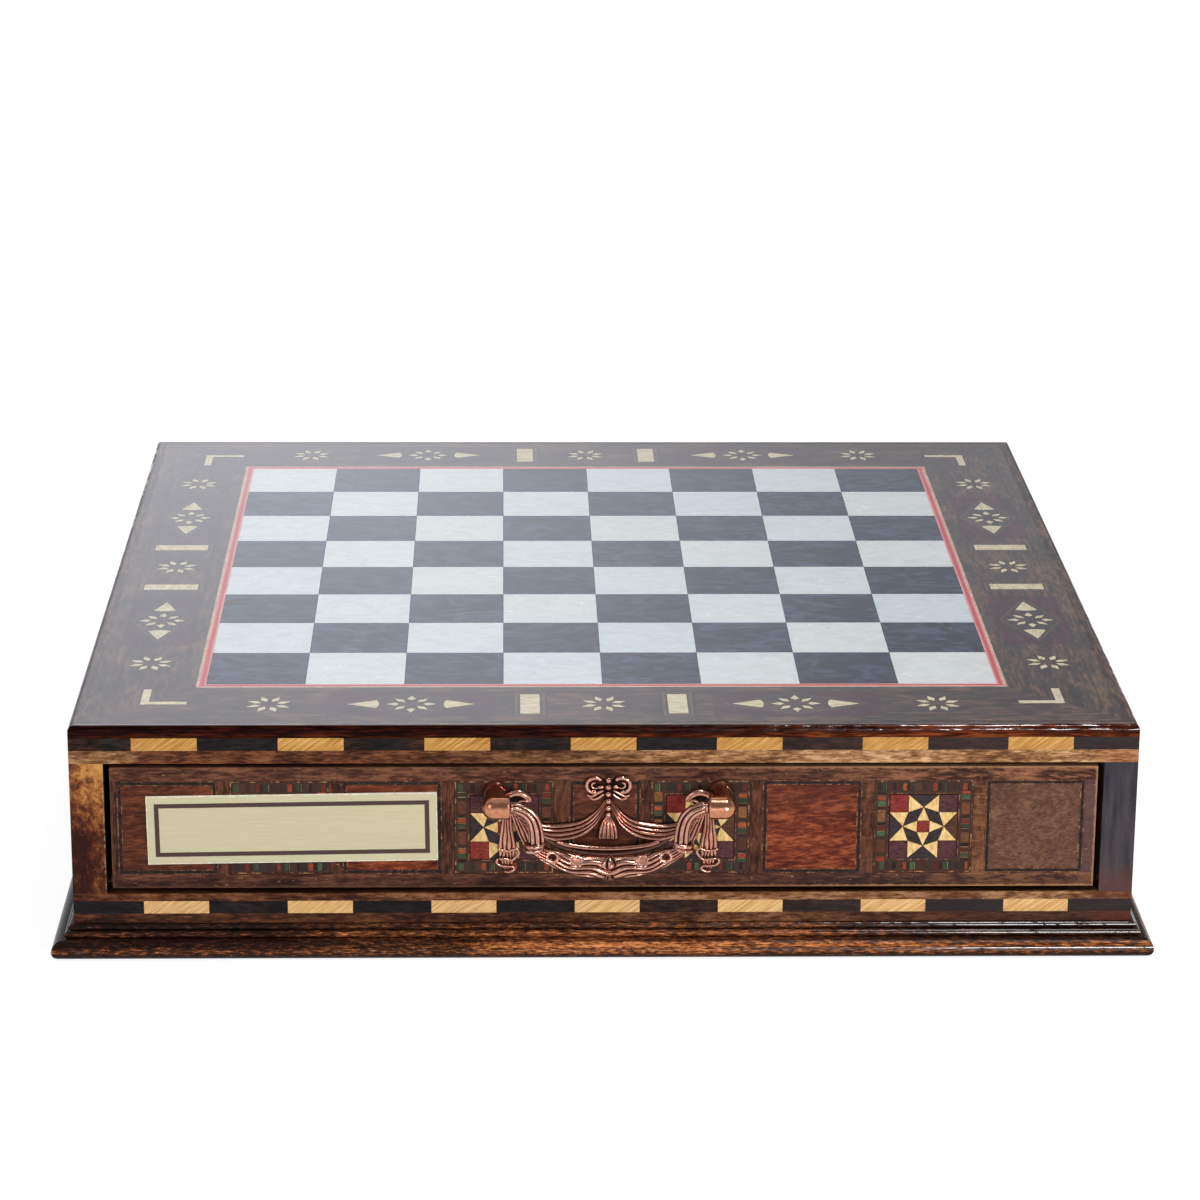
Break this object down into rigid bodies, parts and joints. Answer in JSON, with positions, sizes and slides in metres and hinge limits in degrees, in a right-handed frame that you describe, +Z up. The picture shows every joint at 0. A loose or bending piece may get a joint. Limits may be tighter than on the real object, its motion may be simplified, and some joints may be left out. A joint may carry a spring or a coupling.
{
  "type": "chess box with drawers",
  "caption": "Square chessboard box with inlaid star and diamond border, moulded plinth and drawers at front and back, each with a swagged drop handle.",
  "frame": {"origin": "middle of the underside of the plinth, on the table", "axes": "+Z up from the table to the chessboard, -Y towards the drawer front that carries the name plate, +X to the right as seen from there"},
  "size_m": [0.3944, 0.4196, 0.0863],
  "materials": {
    "case_wood": "gloss lacquer",
    "walnut_veneer": "gloss lacquer",
    "maple": "gloss lacquer",
    "ebony": "gloss lacquer",
    "plain_wood": "bare",
    "plinth_wood": "gloss lacquer",
    "lipping_wood": "gloss lacquer",
    "rosewood": "gloss lacquer",
    "light_pearl": "gloss, pearly",
    "dark_pearl": "gloss, pearly",
    "red_wood": "gloss lacquer",
    "holly": "gloss lacquer",
    "drawer_walnut": "gloss lacquer",
    "panel_wood": "gloss lacquer",
    "mosaic": "gloss lacquer",
    "felt": "matt",
    "copper": "antique copper, satin",
    "steel": "plain",
    "champagne_plate": "satin"
  },
  "bodies": {
    "case": {"left_side": "case_wood", "right_side": "case_wood", "front_top_rail": "case_wood", "front_bottom_rail": "case_wood", "back_top_rail": "case_wood", "back_bottom_rail": "case_wood", "face_strips": "walnut_veneer", "corner_veneers": "walnut_veneer", "light_band_blocks": "maple", "dark_band_blocks": "ebony", "bottom_panel": "plain_wood", "centre_partition": "plain_wood", "drawer_runners": "plain_wood", "drawer_kickers": "plain_wood", "front_plinth": "plinth_wood", "back_plinth": "plinth_wood", "left_plinth": "plinth_wood", "right_plinth": "plinth_wood", "top_board": "plain_wood", "top_lipping": "lipping_wood", "border_veneer": "walnut_veneer", "diamond_panels": "rosewood", "light_squares": "light_pearl", "dark_squares": "dark_pearl", "red_stringing": "red_wood", "pale_stringing": "holly", "star_inlays": "holly", "spear_inlays": "holly", "bar_inlays": "holly"},
    "front_drawer": {"front_drawer_front": "drawer_walnut", "front_drawer_left_side": "plain_wood", "front_drawer_right_side": "plain_wood", "front_drawer_back": "plain_wood", "front_drawer_bottom": "plain_wood", "front_drawer_felt": "felt", "front_drawer_panels": "panel_wood", "front_drawer_lines": "ebony", "front_mosaic_borders": "mosaic", "front_star_points": "holly", "front_star_ground": "rosewood", "front_handle_plate": "copper", "front_handle_posts": "copper", "front_handle_screws": "steel", "name_plate": "champagne_plate"},
    "front_bail": {"front_bail": "copper"},
    "back_drawer": {"back_drawer_front": "drawer_walnut", "back_drawer_left_side": "plain_wood", "back_drawer_right_side": "plain_wood", "back_drawer_back": "plain_wood", "back_drawer_bottom": "plain_wood", "back_drawer_felt": "felt", "back_drawer_panels": "panel_wood", "back_drawer_lines": "ebony", "back_mosaic_borders": "mosaic", "back_star_points": "holly", "back_star_ground": "rosewood", "back_handle_plate": "copper", "back_handle_posts": "copper", "back_handle_screws": "steel"},
    "back_bail": {"back_bail": "copper"}
  },
  "joints": [
    {"name": "front_drawer_slide", "type": "slide", "parent": "case", "child": "front_drawer", "axis": [0, -1, 0], "range_m": [0, 0.13]},
    {"name": "front_bail_hinge", "type": "hinge", "parent": "front_drawer", "child": "front_bail", "pos_m": [0, -0.2045, 0.06105], "axis": [1, 0, 0], "range_deg": [-90, 12]},
    {"name": "back_drawer_slide", "type": "slide", "parent": "case", "child": "back_drawer", "axis": [0, 1, 0], "range_m": [0, 0.13]},
    {"name": "back_bail_hinge", "type": "hinge", "parent": "back_drawer", "child": "back_bail", "pos_m": [0, 0.2045, 0.06105], "axis": [1, 0, 0], "range_deg": [-12, 90]}
  ]
}
